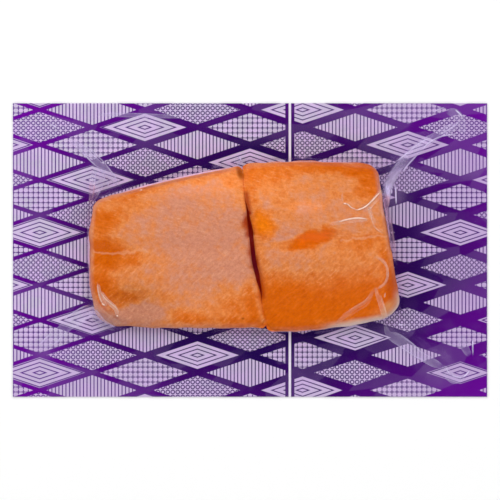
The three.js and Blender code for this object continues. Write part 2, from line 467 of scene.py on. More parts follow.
film_mesh = film_sheet()
film_tree = BVHTree.FromBMesh(film_mesh)
film = finished(film_mesh, "film_sheet")
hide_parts("cover_film")


def film_top(x, y):
    """The height of the film in millimetres and how level it is there, found by a ray from above."""
    hit, facing = film_tree.ray_cast(Vector((x, y, RAY_START)) * MM, Vector((0, 0, -1)))[:2]
    return (hit.z / MM, abs(facing.z)) if hit else (CARD_TOP, 1)


def clearance(piece):
    """The least height of the film over a piece, and the place on the pack where it is."""
    gaps = []
    for vert in piece.data.vertices:
        x, y, z = vert.co / MM
        gaps.append((film_top(x, y)[0] - z, x, y))
    return [round(value, 2) for value in min(gaps)]


print("film over the tail portion, at least, and where:", clearance(tail))
print("film over the head portion, at least, and where:", clearance(head))

# %% [markdown]
# ## Folds in the film
# Where the film had to give, it is folded flat on itself. A wide fold is a band of doubled, milky film with
# crisp edges. A narrow one is a thin bright line where its ridge catches the light: its white is a painted
# highlight, and the ridge adds a real glint. Lines like these could be painted in the material. Made as
# mesh they keep a real ridge, so they glint, and they stay sharp however close the camera comes.
# Each fold is a strip: a small grid laid along a smooth path over the film, a little higher in its middle.

# %% How a fold is made
STRIP_STEP = 0.8
STRIP_LIFT = 0.05
ACROSS = 6
TIP_WIDTH = 0.5
STEEP = {"level": (0.15, 0.5), "milk": 0.5}


def smooth_path(knots):
    """A curve through all the knots, in steps of about the same length. A knot is x, y and a width."""
    knots = [Vector(knot) for knot in knots]
    ends = [2 * knots[0] - knots[1]] + knots + [2 * knots[-1] - knots[-2]]
    path = []
    for before, a, b, after in zip(ends, ends[1:], ends[2:], ends[3:]):
        count = max(2, round((b - a).xy.length / STRIP_STEP))
        for step in range(count):
            t = step / count
            path.append(0.5 * (2 * a + (b - before) * t + (2 * before - 5 * a + 4 * b - after) * t ** 2
                               + (3 * a - before - 3 * b + after) * t ** 3))
    return path + [knots[-1]]


def fold(bm, knots, milk, sides, rise, taper):
    """Adds one strip along the knots. It is milk white in its middle and sides times as white at its sides,
    its middle rises by rise, and it thins out over a share of its length, taper, at both ends."""
    path = smooth_path(knots)
    last = len(path) - 1
    milk_and_glint = bm.verts.layers.float.get("milk_and_glint") or bm.verts.layers.float.new("milk_and_glint")
    made = bmesh.ops.create_grid(bm, x_segments=last, y_segments=ACROSS, size=1)["verts"]
    for vert in made:
        step = round((vert.co.x + 1) / 2 * last)
        side = vert.co.y
        way = (path[min(step + 1, last)] - path[max(step - 1, 0)]).xy.normalized()
        share = step / last
        slim = smooth(share, 0, taper) * smooth(1 - share, 0, taper)
        half = path[step].z / 2 * lerp(TIP_WIDTH, 1, slim)
        spot = path[step].xy + Vector((-way.y, way.x)) * side * half
        height, level = film_top(spot.x, spot.y)
        vert.co = Vector((spot.x, spot.y, height + STRIP_LIFT + rise * (1 - side * side))) * MM
        facing_up = lerp(STEEP["milk"], 1, smooth(level, *STEEP["level"]))
        vert[milk_and_glint] = milk * slim * lerp(1, sides, side ** 4) * facing_up


# %% [markdown]
# ### Where the folds are
# The wide bands run along the pleats and down the fish's sides. The fine lines edge those bands, and some
# more of them cross the fish near its corners. Each fold is written as how milky it is and its path: a row
# of places on the pack in millimetres. A band's path has its width at each place too.

# %% Bands that lie off the fish
BANDS_OVER_CARD = [
    # far right: one along the pleat, one down the fish's side, one at the pleat's far end
    (0.22, [(75.5, 42.5, 1.6), (79, 43.8, 4.0), (84, 48.6, 5.4), (89, 53.4, 5.4), (95, 58.2, 5.2),
            (101, 62, 4.2), (108, 65.6, 4.6), (115, 68, 4.0)]),
    (0.16, [(106, 75, 3.0), (111, 74, 5.0), (114.5, 69.5, 4.4), (115.5, 62, 3.0)]),
    # near right
    (0.20, [(72.8, -38.5, 1.4), (74.7, -45, 3.2), (78.4, -47.7, 5.2), (85.5, -52, 5.4), (92, -56.8, 4.6),
            (98.4, -60.6, 4.6), (105.5, -64, 3.0)]),
    (0.18, [(104.5, -62, 2.0), (107, -67, 4.6), (111, -70.5, 4.0), (117, -68.5, 2.4)]),
    (0.16, [(113.5, -46, 4.4), (116, -52, 4.4), (119, -57.5, 3.0)]),
    # near left
    (0.15, [(-83, -32.6, 4.2), (-89.5, -35.2, 4.9), (-94.9, -38.7, 5.4), (-100.3, -42.3, 5.9),
            (-105.2, -46.6, 5.9), (-110, -50.2, 4.9), (-114.3, -54.6, 3.2)]),
    (0.24, [(-87.5, -31.5, 4.5), (-83.5, -35, 5.0), (-79.5, -39.5, 4.4), (-72, -43, 2.6)]),
    # far left
    (0.24, [(-98.7, 60.9, 1.6), (-92.2, 55.8, 3.2), (-86.8, 50.9, 3.8), (-81.9, 46.6, 3.8),
            (-77.6, 42.3, 4.3), (-73.3, 37.7, 3.2), (-69.5, 33.9, 1.6)]),
    (0.22, [(-82, 45, 5.0), (-82.6, 38, 8.0), (-84.4, 30, 5.4), (-86.6, 23, 2.4)]),
    (0.20, [(-84, 73.4, 1.6), (-68, 73.2, 2.4), (-50, 72.6, 2.2), (-34, 72, 1.4)]),
    # at the top of the cut
    (0.20, [(-9, 46.2, 1.2), (-6.2, 48.4, 3.4), (-4, 46, 2.0)]),
]

# %% Veils and lines where the film turns down at the fish's sides
EDGE_STEP = 8.0


def along_edge(side, start, end, inside):
    """A path along a long edge of the fish, from one x to another, so far inside its outline."""
    offset = -inside if side == "back" else inside
    steps = math.ceil((end - start) / EDGE_STEP)
    xs = [lerp(start, end, step / steps) for step in range(steps + 1)]
    return [(x, PAIR[side](x) + offset) for x in xs]


VEILS_BESIDE_FISH = [
    # down the right side, wide near the pleat and narrow further down
    (0.62, [(88, 53, 4.0), (84, 49, 6.6), (80.5, 44.5, 6.8), (77.4, 40.2, 6.0), (75.0, 35, 5.4),
            (73.9, 30, 4.8), (73.4, 25.3, 4.2), (73.7, 19, 3.0), (74.6, 11, 2.6)]),
    (1.05, [(78, 43, 2.6), (76.6, 39, 4.0), (74.9, 34, 4.4), (73.9, 29.5, 4.6), (73.5, 25.3, 4.2),
            (73.8, 20, 3.0), (74.8, 12, 2.4)]),
    (0.88, [(73.8, 30, 2.4), (73.7, 23, 3.4), (75.3, 13, 3.9), (76.9, 3.5, 3.7), (78.2, -3.4, 3.0),
            (79.3, -11, 1.8)]),
    # down the left side
    (0.50, [(-86.0, 33, 1.0), (-86.8, 26, 1.4), (-87.2, 14, 1.4), (-86.9, 0, 1.4), (-86.2, -14, 1.4),
            (-84.8, -28, 1.4)]),
]
# Painted highlights along the fish's long edges, where the film bends over them.
LINES_ALONG_EDGES = [
    (1.00, along_edge("back", -76, -3, 0.5)),
    (0.20, along_edge("back", 0, 62, 0.5)),
    (0.16, along_edge("belly", -66, 72, 0.2)),
]

# %% Bands that lie on the fish
BANDS_ON_FISH = [
    (0.20, [(72, 33.5, 2.0), (68.6, 28.4, 3.2), (65, 24, 3.2), (62, 21.8, 1.6)]),
    (0.20, [(64.6, 24, 1.4), (65.6, 18.5, 2.2), (67.9, 14, 1.4)]),
    (0.20, [(65, 16.4, 1.4), (59, 16.4, 2.4), (50.2, 15.2, 2.4), (42, 13.6, 1.4)]),
    (0.24, [(67.4, -3.4, 0.9), (72.3, -6.4, 1.1), (74.4, -10.3, 1.2), (74.4, -15.5, 1.2),
            (72.5, -18.8, 1.3), (68.6, -21.6, 1.6)]),
    (0.17, [(67.9, -19.6, 1.4), (68.9, -23.4, 1.8), (70.5, -27.9, 2.4), (72.1, -32.5, 2.8),
            (73.8, -38.2, 3.0)]),
    (0.11, [(67.4, -20.4, 1.4), (65.3, -25.4, 1.8), (61.3, -29.2, 2.0), (56.7, -31.9, 2.0),
            (52.2, -35.8, 2.0), (46, -40.2, 1.8)]),
    (0.26, [(-82.5, -18.1, 1.2), (-81.8, -23.4, 1.8), (-80.2, -27.9, 2.0), (-77.6, -31, 1.8)]),
    (0.28, [(-81.2, -22.1, 1.2), (-78.6, -26.6, 2.0), (-75.3, -29.9, 2.4), (-73, -32.5, 2.2),
            (-72.2, -36.5, 1.6)]),
    (0.10, [(-84.4, -26, 1.6), (-82.8, -32, 4.0), (-78.6, -36.6, 4.8), (-73, -39.4, 3.0),
            (-69, -40.4, 1.4)]),
]

# %% The fine lines
# Most fine lines are painted highlights: milky white strips where the film's creases catch the lamps.
LINES_OVER_CARD = [
    # far right
    (0.60, [(75.5, 45.4), (79.7, 48.4), (85.9, 53.2), (92.6, 58.4), (99.9, 61.4)]),
    (0.45, [(99.9, 61.4), (105, 63.6), (111, 67.4), (115.2, 71)]),
    (0.95, [(82, 41), (84.2, 44.4), (87.2, 48), (91.1, 52)]),
    (0.70, [(90.5, 51.6), (94.5, 56), (99, 59.4), (104, 61.6), (110.4, 62.7), (114.5, 63.3)]),
    (0.50, [(98, 74.3), (101, 75.6), (106.2, 77.6)]),
    (0.85, [(110.8, 76.4), (113.8, 73.6), (115.3, 71.4)]),
    (0.95, [(78.8, 36), (79, 30), (79.2, 23.8)]),
    (0.80, [(76.6, 33.4), (76.8, 31.8), (76.6, 30.2)]),
    # near right
    (0.80, [(79.7, -39.7), (81.4, -40.5), (83.1, -40.2)]),
    (0.40, [(76.1, -43.6), (82.2, -46.5), (89.7, -52.3), (93.9, -57.3)]),
    (0.35, [(78, -50.4), (83.7, -54), (91.5, -58.8), (98, -61.5)]),
    (0.60, [(105.6, -63), (107, -65.6), (108.4, -67.6)]),
    (0.60, [(108.4, -67.6), (112.4, -68.9), (115.5, -69.2)]),
    (0.98, [(115, -69.2), (117.3, -67.4), (119.3, -65)]),
    (0.85, [(120.7, -47.5), (120.7, -52.5), (120.8, -57.6)]),
    # near left
    (0.50, [(-84.5, -29.4), (-90.6, -31), (-97.5, -35.2), (-102.5, -39.8)]),
    (0.30, [(-88, -37.8), (-92.4, -40.6), (-95.2, -41.4)]),
    (0.40, [(-101.5, -46.8), (-103.8, -49.4), (-106, -51)]),
    (0.45, [(-107.6, -44.8), (-111.4, -48.6), (-114.2, -51.6)]),
    # far left
    (0.70, [(-108.8, 68.6), (-106.4, 67.4), (-104.4, 65.8)]),
    (0.40, [(-96.2, 59.6), (-90.4, 56.7), (-84.6, 52.4), (-79.2, 47.6), (-74.4, 41.4), (-69.2, 34)]),
    (0.40, [(-93.8, 55.8), (-89.4, 51.4), (-85.1, 47), (-81.2, 43.6)]),
    (0.70, [(-77.4, 37.4), (-77, 35.6), (-76.4, 34.6)]),
    (0.50, [(-83.4, 44), (-84.2, 33), (-86.4, 24)]),
    # at the top of the cut
    (0.60, [(-7.4, 49.8), (-5.9, 50.2), (-4.9, 48), (-6.6, 46), (-7.4, 44.6)]),
]
# Painted highlights on the fish too, where the film's creases catch the lamps; the shortest ones are single
# glints.
LINES_ON_FISH = [
    (1.10, [(72.4, 32.8), (69, 29.8), (65.4, 26), (62.6, 23.6), (60, 22.3), (57.2, 21.7), (54.8, 22.8)]),
    (0.65, [(58.2, 21.8), (54.8, 23), (53.2, 24.6), (51.2, 25.4)]),
    (0.98, [(52.3, 24.8), (51.4, 25.2), (50.4, 25)]),
    (0.30, [(50.2, 31.4), (49.8, 28.4), (50.4, 25.6)]),
    (0.95, [(64.4, 16.4), (60.6, 17.2), (56.4, 17.2), (51.6, 16.3), (46.3, 14.6)]),
    (0.35, [(68.6, 27.6), (66, 23.4), (63, 21)]),
    (0.35, [(64.2, 23), (65.6, 18.5), (66.3, 15.3), (68.6, 11.3), (73.4, 8.2)]),
    (0.20, [(66.4, -2.6), (71.6, -4.8), (74.6, -9.2), (74.9, -14.8), (73, -19)]),
    (0.13, [(66.2, -21.4), (63.2, -27), (58.2, -30.4), (53, -33.6), (47.6, -38)]),
    (0.10, [(67.4, -24.6), (63.4, -30), (57.6, -33.6), (52.4, -37.8)]),
    (0.30, [(70.4, -23), (72, -27.6), (73.6, -32.4), (74.8, -38)]),
    (0.40, [(73.6, -23), (73.3, -24.6), (72.9, -26)]),
    (0.50, [(-83.2, -17), (-82.6, -22.8), (-81.2, -27.6), (-79.2, -30.4)]),
    (0.45, [(-81.6, -21.6), (-79.4, -26), (-75.8, -29.2), (-72.8, -31.8), (-71.6, -35.2)]),
    (0.90, [(-80.8, -29), (-79.9, -29.7), (-79, -30.2)]),
    (0.90, [(-72.9, -35.6), (-72.3, -35.9), (-71.7, -36)]),
    (0.60, [(-60, 32.4), (-59, 32.6), (-58.2, 32.8)]),
    (0.60, [(-47.8, 37.6), (-46.9, 37.8), (-46, 38)]),
]

# %% Lay the folds
FINE_WIDTH = 1.0
LEAN = 0.988
VEIL_SHAPE = {"sides": 0.3, "rise": 0.02, "taper": 0.4}
BAND_SHAPE = {"rise": 0.2, "taper": 0.12}
LINE_SHAPE = {"sides": 0, "rise": 0.3, "taper": 0.25}


def folds(name, bands, lines, veils=(), sides=1.0, inward=1.0):
    """All the bands, fine lines and veils of one area as one piece. The places on the fish were read off a
    picture from above, where high places look farther out than they are, so inward takes them back."""
    bm = bmesh.new()
    for milk, path in veils:
        fold(bm, path, milk, **VEIL_SHAPE)
    for milk, path in bands:
        fold(bm, [(x * inward, y * inward, width) for x, y, width in path], milk, sides, **BAND_SHAPE)
    for milk, path in lines:
        fold(bm, [(x * inward, y * inward, FINE_WIDTH) for x, y in path], milk, **LINE_SHAPE)
    piece = finished(bm, name)
    return piece


lines_off_fish = LINES_OVER_CARD + LINES_ALONG_EDGES
folds_over_card = folds("film_bands", BANDS_OVER_CARD, lines_off_fish, VEILS_BESIDE_FISH, sides=1.7)
folds_on_fish = folds("film_lines", BANDS_ON_FISH, LINES_ON_FISH, sides=1.5, inward=LEAN)

# %% [markdown]
# ## Materials
# Every colour and bump comes from shader nodes, so nothing depends on an image. The patterns read Object
# coordinates: these are metres in the pack's own frame, so they stay put when the camera moves.
# Wiring nodes one by one hides what a material does. So a node's output is wrapped as a wire here, and a
# sum with wires, such as a * 0.5 + b, adds the math nodes for it. A material then reads like a sum.

# %% Wires
class Wire:
    """The output of a node. A sum with wires adds math nodes."""

    def __init__(self, socket):
        self.socket = socket

    def __add__(self, other):
        return calc("ADD", self, other)

    def __sub__(self, other):
        return calc("SUBTRACT", self, other)

    def __rsub__(self, other):
        return calc("SUBTRACT", other, self)

    def __mul__(self, other):
        return calc("MULTIPLY", self, other)

    def __truediv__(self, other):
        return calc("DIVIDE", self, other)

    __radd__ = __add__
    __rmul__ = __mul__


def fill(node, inputs):
    """Wires or sets a node's inputs."""
    for key, value in inputs.items():
        if isinstance(value, Wire):
            node.id_data.links.new(value.socket, node.inputs[key])
        else:
            node.inputs[key].default_value = value


def put(kind, inputs, output=0, tree=None, **settings):
    """Adds a node beside its first wire, sets its options and inputs, and gives one of its outputs."""
    if tree is None:
        tree = next(value.socket.id_data for value in inputs.values() if isinstance(value, Wire))
    fresh = tree.nodes.new("ShaderNode" + kind)
    for key, value in settings.items():
        setattr(fresh, key, value)
    fill(fresh, inputs)
    return Wire(fresh.outputs[output])


def calc(operation, *values, **settings):
    """One math node, such as calc("MAXIMUM", a, b)."""
    return put("Math", dict(enumerate(values)), operation=operation, **settings)


def vector(operation, *values, output=0, **inputs):
    """One node of vector math."""
    return put("VectorMath", {**dict(enumerate(values)), **inputs}, output, operation=operation)


# %% Helpers that each stand for one or two nodes
def between(value, low, high, soft=True):
    """0 below low and 1 above high. With low over high it falls instead."""
    inputs = {0: value, 1: min(low, high), 2: max(low, high)}
    rising = put("MapRange", inputs, interpolation_type="SMOOTHSTEP" if soft else "LINEAR")
    return 1 - rising if low > high else rising


def tint(share, a, b):
    """Mixes two colours."""
    return put("Mix", {0: share, 6: a, 7: b}, 2, data_type="RGBA")


MIDDLE = 0.5


def grain(place, scale, detail=2.0, roughness=0.5, output=0):
    """Noise around the middle."""
    inputs = {"Vector": place, "Scale": scale, "Detail": detail, "Roughness": roughness}
    return put("TexNoise", inputs, output)


def drawn_out(place, angle, stretch, shift=0):
    """The place in a frame that is turned by degrees and stretched, which draws out a pattern on it."""
    inputs = {"Vector": place, "Location": (shift, shift, 0), "Rotation": (0, 0, math.radians(angle)),
              "Scale": stretch}
    return put("Mapping", inputs, vector_type="TEXTURE")


def bumps(height, strength, distance):
    """A relief for the Normal input. Its distance is in millimetres."""
    return put("Bump", {"Height": height, "Strength": strength, "Distance": distance * MM})


def split(place):
    """The x and the y of a place."""
    outputs = put("SeparateXYZ", {0: place}).socket.node.outputs
    return Wire(outputs["X"]), Wire(outputs["Y"])


def ink(red, green, blue):
    """A colour as seen on a screen, from 0 to 255, as the linear values that shaders use."""
    def linear(value):
        value /= 255
        return value / 12.92 if value <= 0.04045 else ((value + 0.055) / 1.055) ** 2.4
    return linear(red), linear(green), linear(blue), 1.0


def new_material(name):
    """A node material, its Principled shader, and the place on the pack in millimetres."""
    material = bpy.data.materials.new(name)
    material.use_nodes = True
    surface = next(node for node in material.node_tree.nodes if node.type == "BSDF_PRINCIPLED")
    coordinates = put("TexCoord", {}, "Object", material.node_tree)
    return material, surface, vector("SCALE", coordinates, Scale=1 / MM)


def attribute(surface, name):
    """A value that the mesh carries at each vertex."""
    return put("Attribute", {}, "Fac", surface.id_data, attribute_name=name)


# %% [markdown]
# ### Two shared effects
# Soft patches are used on the flesh, on the print and on the film: an oval that fades out at its edge.
# Soft lines are the same for a straight stretch. Each is built once as a node group with named inputs.

# %% The soft patch and the soft line
FLAT = (1, 1, 0)


def new_group(name, sockets):
    """A node group with the given inputs and one output, Mask."""
    tree = bpy.data.node_groups.new(name, "ShaderNodeTree")
    for socket_name, kind in sockets.items():
        tree.interface.new_socket(name=socket_name, in_out="INPUT", socket_type="NodeSocket" + kind)
    tree.interface.new_socket(name="Mask", in_out="OUTPUT", socket_type="NodeSocketFloat")
    given = {socket.name: Wire(socket) for socket in tree.nodes.new("NodeGroupInput").outputs}
    return tree, given, tree.nodes.new("NodeGroupOutput")


def fading(away, start, stop):
    """1 up to start, 0 past stop and a soft S between."""
    return put("MapRange", {0: away, 1: start, 2: stop, 3: 1.0, 4: 0.0}, interpolation_type="SMOOTHSTEP")


def soft_patch_group():
    """Turns and squeezes the plane so that the oval becomes a circle, and fades with the distance."""
    sockets = {"Place": "Vector", "Centre": "Vector", "Reach": "Vector", "Turn": "Float", "Edge": "Float"}
    tree, given, result = new_group("soft_patch", sockets)
    offset = vector("SUBTRACT", given["Place"], given["Centre"])
    turned = put("VectorRotate", {"Vector": offset, "Angle": given["Turn"]}, rotation_type="Z_AXIS")
    shares = vector("DIVIDE", vector("MULTIPLY", turned, FLAT), given["Reach"])
    away = vector("LENGTH", shares, output="Value")
    fill(result, {"Mask": fading(away, 1 - given["Edge"], 1 + given["Edge"])})
    return tree


def soft_line_group():
    """Finds the nearest point of the line, its foot, and fades with the distance from it."""
    sockets = {"Place": "Vector", "Start": "Vector", "End": "Vector", "Half width": "Float"}
    tree, given, result = new_group("soft_line", sockets)
    step = vector("SUBTRACT", vector("MULTIPLY", given["Place"], FLAT), given["Start"])
    way = vector("SUBTRACT", given["End"], given["Start"])
    covered = vector("DOT_PRODUCT", step, way, output="Value")
    whole = vector("DOT_PRODUCT", way, way, output="Value")
    foot = vector("SCALE", way, Scale=calc("DIVIDE", covered, whole, use_clamp=True))
    away = vector("LENGTH", vector("SUBTRACT", step, foot), output="Value")
    fill(result, {"Mask": fading(away, 0.0, given["Half width"])})
    return tree


SOFT_PATCH = soft_patch_group()
SOFT_LINE = soft_line_group()


def soft_patch(place, centre, reach, turn=0, edge=0.7):
    """An oval patch in millimetres, turned by degrees."""
    inputs = {"Place": place, "Centre": (*centre, 0), "Reach": (*reach, 1), "Turn": math.radians(-turn),
              "Edge": edge}
    return put("Group", inputs, node_tree=SOFT_PATCH)


def soft_line(place, start, end, half_width):
    """A straight soft line in millimetres."""
    inputs = {"Place": place, "Start": (*start, 0), "End": (*end, 0), "Half width": half_width}
    return put("Group", inputs, node_tree=SOFT_LINE)


def soft_patches(place, rows):
    """A sum of patches. A row is x, y, the reach along and across, the turn, how much the patch counts
    and, where it isn't the usual one, the softness of its edge."""
    return sum(soft_patch(place, (x, y), (along, across), turn, *edge) * much
               for x, y, along, across, turn, much, *edge in rows)


def soft_lines(place, rows):
    """A sum of lines. A row is the start, the end, the half width and how much the line counts."""
    return sum(soft_line(place, start, end, half) * much for start, end, half, much in rows)


# %% [markdown]
# ### The flesh
# Char flesh is orange. Where the film touches wet flesh the colour is deep and clear, and where a thin
# layer of air or ice lies between them it turns milky, from peach to a greyish pink. So the colour runs
# along one scale, from hazed to wet, and soft patches say where on that scale each place is. A row of the
# tables is one patch: x, y, its reach along and across, its turn, how much it counts and maybe its edge.
# Fine fibres slant across the flesh: below the middle line they rise to the right, above it they fall.

# %% Where the flesh is wet or hazed, and where light and shade are painted on it
WET = [
    (-78, 15, 9, 5, 0, 0.50),
    (-76, 1.5, 9, 4, 0, 0.55),
    (-70, -5.5, 12, 4.5, 4, 0.50),
    (-80, -9, 5, 16, 0, 0.40),
    (-76, -22, 7, 9, 35, 0.40),
    (-66, -26, 7, 4, -25, 0.30),
    (-53, -26, 12, 5, 0, 0.24),
    (-33, -37, 10, 3.4, -8, 0.40),
    (-6, -33, 15, 12, 50, 0.34),
    (-6, -39, 10, 3, 0, 0.22),
    (-30, 41, 50, 4.5, 13, 0.22),
    (-68, 24, 14, 5, 12, 0.25),
    (7, 13.5, 6, 6, 0, 0.66),
    (33.2, 5.8, 10.6, 4.2, 18, 0.85, 0.5),
    (22, 3, 12, 2.2, 6, 0.30),
    (48, 44.5, 25, 4, -2, 0.68),
    (65, 36, 8, 9, 35, 0.55),
    (10, 41, 16, 5, 8, 0.32),
    (3, 10, 3.5, 40, 8, 0.30),
    (19, -30, 17, 14, -30, 0.62),
    (48, -29, 32, 13, 8, 0.62),
    (56, -28, 15, 8, 10, 0.22),
    (77, -16, 5, 16, 8, 0.45),
    (62, 5, 14, 4, 4, 0.24),
    (58, -8, 22, 9, 0, 0.12),
    (34, 29, 30, 9, 4, 0.05),
]
HAZED = [
    (-24, 6, 34, 20, -12, 0.24),
    (-24, -20, 26, 12, 10, 0.14),
    (-60, -33, 13, 6, 4, 0.36),
    (28, -8, 22, 7, -4, 0.05),
    (16, 5, 9, 5, 10, 0.10),
    (60, 18, 14, 9, 0, 0.10),
    (-42, 28, 30, 7, 14, 0.08),
    (36, 23, 12, 6, 0, 0.10),
    (7, 23, 6, 8, 10, 0.12),
]
# Brighter and darker patches: painted light and a painted highlight towards the back, painted shade at the
# lower left corner, with some of the flesh's own tone.
LIGHT_SHADE_AND_TONE = [
    (-2, 37, 26, 12, 0, 0.16, 0.8),
    (30, 23, 9, 3.4, 4, 0.17),
    (-20, 34.5, 18, 4, 10, 0.10),
    (-41, 32, 14, 4.5, 12, 0.08),
    (-67, -31, 24, 13, 0, -0.17, 0.6),
    (-76.5, -37, 7, 4.2, -30, -0.24),
    (-63, -24, 10, 5, 0, -0.09),
    (-74, 0, 10, 6, 0, -0.07),
    (28, -11, 24, 6, 0, -0.05),
]
HAZED_LINES = [((2.6, -19), (6.6, -38), 2.8, 0.45)]
print(len(WET), "wet patches,", len(HAZED), "hazed ones and", len(LIGHT_SHADE_AND_TONE), "brighter or darker ones")

# %% The grain of the flesh
FIBRES = {"stretch": (4.2, 1.2, 4.0), "rising": (42, 0), "falling": (-14, 31), "turn_over": (-4, 8)}
GRAINS = {"broad": (0.05, 3.0, 0.6), "blotch": (0.22, 3.0, 0.6), "mottle": (0.5, 4.0, 0.7),
          "fine": (1.1, 3.0, 0.7)}
RAGGED = {"grain": (0.13, 4.0, 0.55), "shift": (9, 9, 0)}


def ragged_place(place):
    """The place, shifted about a little, so that the edge of a patch on it isn't smooth."""
    wander = vector("SUBTRACT", grain(place, *RAGGED["grain"], output="Color"), (MIDDLE, MIDDLE, MIDDLE))
    return vector("MULTIPLY_ADD", wander, RAGGED["shift"], place)


def fibres(place, angle, shift):
    """Fine streaks along one direction: noise that is drawn out lengthwise."""
    return grain(drawn_out(place, angle, FIBRES["stretch"], shift), 1.0, 3.0, 0.6)


def flesh_grains(place):
    """Noise at every scale that the flesh shows, around 0."""
    above = between(split(place)[1], *FIBRES["turn_over"])
    slants = {0: above, 2: fibres(place, *FIBRES["rising"]), 3: fibres(place, *FIBRES["falling"])}
    grains = {name: grain(place, *how) - MIDDLE for name, how in GRAINS.items()}
    grains["fibre"] = put("Mix", slants, data_type="FLOAT") - MIDDLE
    return grains


# %% The colours of the flesh
BASE_WETNESS = 0.26
GRAIN_WETS = {"broad": 0.5, "blotch": -0.75, "mottle": -0.16, "fibre": -0.22}
FROM_HAZE_TO_WET = [(0.0, ink(210, 138, 108)), (0.30, ink(226, 135, 72)), (0.62, ink(220, 112, 34)),
                    (0.95, ink(213, 97, 2))]
GLOWS = [(7.5, 13.5, 4.8, 5.8, 0, 0.8, 0.8, ink(246, 130, 6)),
         (33, 5.6, 8.6, 3.4, 18, 0.96, 0.6, ink(230, 100, 0))]
DRY = (0.85, 0.45)


def wetness(place, ragged, grains):
    """Where each place is on the scale from hazed to wet."""
    wet = BASE_WETNESS + soft_patches(ragged, WET) - soft_patches(ragged, HAZED)
    wet = wet - soft_lines(place, HAZED_LINES)
    return wet + sum(grains[name] * much for name, much in GRAIN_WETS.items())


def colour_scale(value, stops):
    """A colour ramp through the given stops."""
    ramp = put("ValToRGB", {0: value})
    elements = ramp.socket.node.color_ramp.elements
    while len(elements) < len(stops):
        elements.new(0.5)
    for element, (position, colour) in zip(elements, stops):
        element.position = position
        element.color = colour
    return ramp


def spotted(colour, place, spots):
    """Tints single spots. A row is as for soft_patches, with a share and an edge, and the tint's colour."""
    for x, y, along, across, turn, share, edge, spot_colour in spots:
        patch = soft_patch(place, (x, y), (along, across), turn, edge)
        colour = tint(patch * share, colour, spot_colour)
    return colour


# %% The fine changes of colour
STREAKS = {"wet": 0.60, "dry": -0.22}
GRAIN_BRIGHTENS = {"mottle": 0.68, "fine": 0.36, "blotch": 0.2}
MILKIER = (0.62, 1.0, 1.0)
# Painted shade: the flesh darkens a little towards its rim, where it rounds over.
RIM_SHADE = {"reach": (7.0, 1.0), "much": -0.04}
PALE_FIBRE = ink(240, 178, 140)
PALE_GRAINS = [("fibre", (0.06, 0.24), 0.22), ("fine", (0.10, 0.24), 0.32)]
PALE_AT_LEAST = 0.05


def grained(colour, place, grains, dry, from_rim):
    """Brightens and dulls the colour along the grains. Red changes least, because a paler place in the
    flesh is a milkier one. Where the flesh is dry, pale threads and specks show too. Painted light and
    shade go in here as well: the brighter and darker patches, and a little shade near the rim."""
    stirred = grains["fibre"] * (STREAKS["wet"] + dry * STREAKS["dry"])
    stirred = stirred + sum(grains[name] * much for name, much in GRAIN_BRIGHTENS.items())
    uneven = 1 + soft_patches(place, LIGHT_SHADE_AND_TONE) + between(from_rim, *RIM_SHADE["reach"]) * RIM_SHADE["much"]
    colour = vector("MULTIPLY", colour, vector("MULTIPLY_ADD", stirred, MILKIER, uneven))
    for name, strong, when_dry in PALE_GRAINS:
        share = between(grains[name], *strong) * (dry * when_dry + PALE_AT_LEAST)
        colour = tint(share, colour, PALE_FIBRE)
    return colour


# %% The rims of the flesh, and its middle line
CLEAR_RIMS = [((-5, 44), (10, -42), 9, 1.0), ((6, 48), (66, 46), 9, 0.8), ((-76, -43), (76, -40), 9, 0.6),
              ((76, 12), (83, -34), 8, 0.6)]
HAZED_RIM = {"reach": (3.4, 0.3), "share": 0.35, "colour": ink(232, 170, 150)}
# Painted light: the rounded rim near the head's far end is lightened, where its curve would otherwise fall
# into shade.
LIT_RIM = {"reach": (2.4, 0.6), "line": [((72, 34), (72.6, 20), 4, 0.8)], "colour": ink(255, 190, 160)}
# Painted shade: brown in the small notches where the two portions meet, at both ends of the cut.
NOTCH_SHADE = ink(146, 62, 0)
NOTCHES = [(-5.4, 41.2, 1.5, 3.2, 18, 0.85, 0.7, NOTCH_SHADE),
           (-3.8, -36.9, 0.7, 0.5, 0, 0.7, 0.7, NOTCH_SHADE)]
MIDDLE_LINE = [((-84, -1.2), (-55, -0.8), 1.3, 0.35), ((50, 5.6), (77, 7.6), 1.0, 0.35)]


def rimmed(colour, place, ragged, from_rim):
    """Hazes the rim, where the film bends off the flesh, paints light on the rim near the head's far end
    and shade in the notches where the two portions meet, and draws the middle line.
    """
    clear = calc("MINIMUM", soft_lines(place, CLEAR_RIMS), 1.0)
    hazed = between(from_rim, *HAZED_RIM["reach"]) * (1 - clear) * HAZED_RIM["share"]
    colour = tint(hazed, colour, HAZED_RIM["colour"])
    lit_rim = between(from_rim, *LIT_RIM["reach"]) * soft_lines(place, LIT_RIM["line"])
    colour = tint(lit_rim, colour, LIT_RIM["colour"])
    colour = spotted(colour, place, NOTCHES)
    return tint(soft_lines(ragged, MIDDLE_LINE), colour, PALE_FIBRE)


# %% The belly's fat
LOW_RIGHT = ((70, -37), (26, 12), 12, 0.35)
THIN_CORNER = ((78.4, -32.8), (9.0, 6.6), 45, 0.2)
LOW_LEFT = ((-80, -37), (9, 7), -30, 0.4)
THICK_FAT = {"reach": (4.6, 0.8), "share": 0.9, "less_at_corner": 0.6, "colour": ink(220, 190, 170)}
LEFT_FAT = {"reach": (5.0, 1.0), "share": 0.10}
THIN_FAT = {"angle": 50, "stretch": (5, 0.9, 4), "rays": (0.38, 0.62), "share": 0.55, "more_in_rays": 0.3,
            "colour": ink(204, 142, 88)}
FAT_EDGE = {"reach": (2.2, 0.2), "share": 0.6, "colour": ink(236, 214, 208)}


